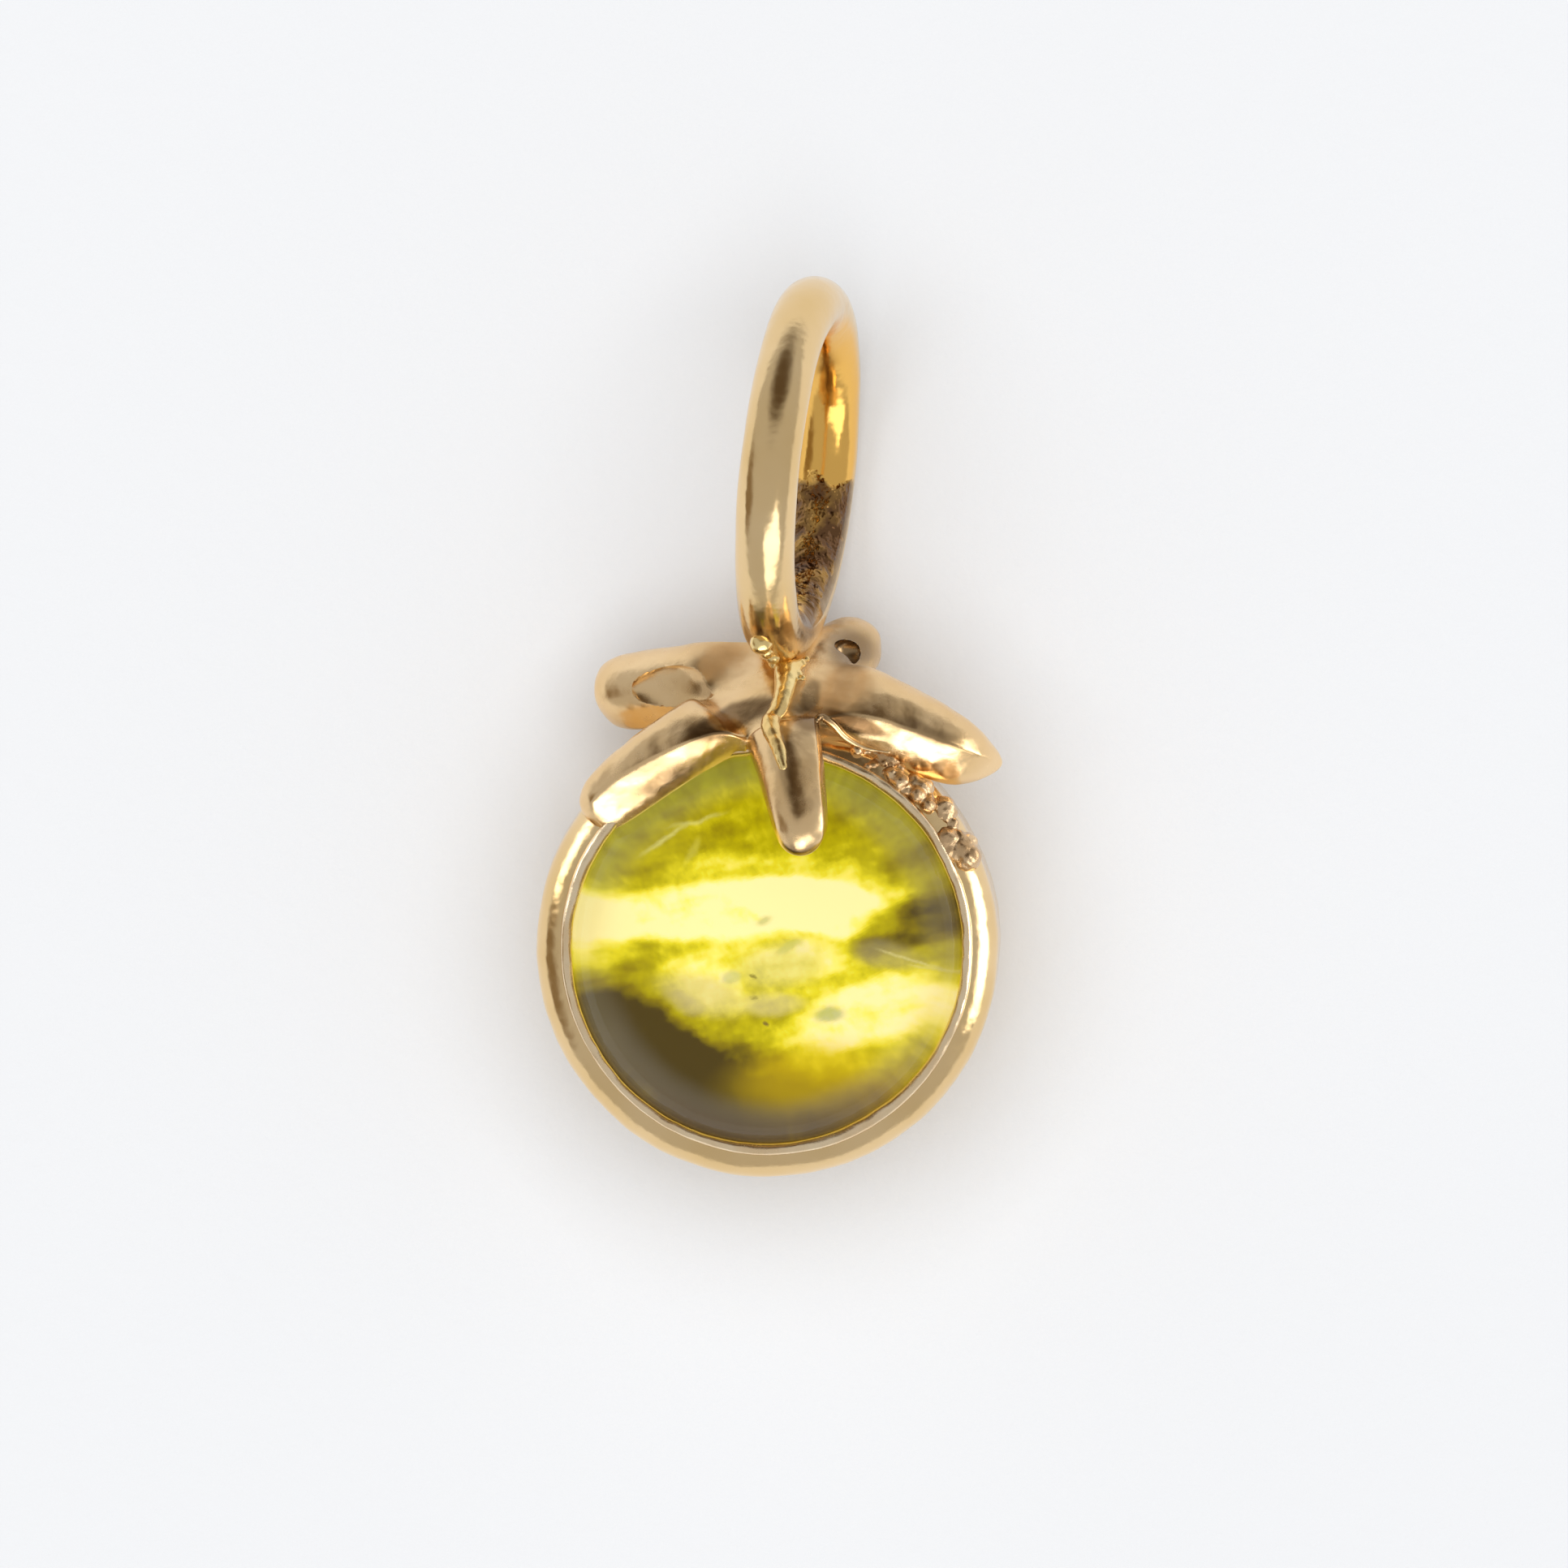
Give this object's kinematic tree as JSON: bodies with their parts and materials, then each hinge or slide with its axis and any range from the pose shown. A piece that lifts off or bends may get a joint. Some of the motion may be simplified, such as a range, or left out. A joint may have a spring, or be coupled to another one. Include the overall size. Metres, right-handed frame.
{
  "type": "tomato charm pendant",
  "caption": "Small gold tomato charm: a round bezel cup with a green cabochon, a soldered calyx of chunky sepals and a round wire bail.",
  "frame": {"origin": "centre of the round body, on the flat of its back, which is the surface that the charm lies on", "axes": "+Y runs from the body to the bail, +X to the right as the stone is looked at, +Z out of the stone's face"},
  "size_m": [0.0058, 0.0112, 0.0048],
  "materials": {
    "gold": "polished",
    "solder": "satin",
    "green_stone": "polished"
  },
  "bodies": {
    "root": {"bezel_cup": "gold", "cabochon": "green_stone", "calyx": "gold", "bail_ring": "gold", "bail_solder": "solder", "seam_solder": "solder"}
  },
  "joints": []
}
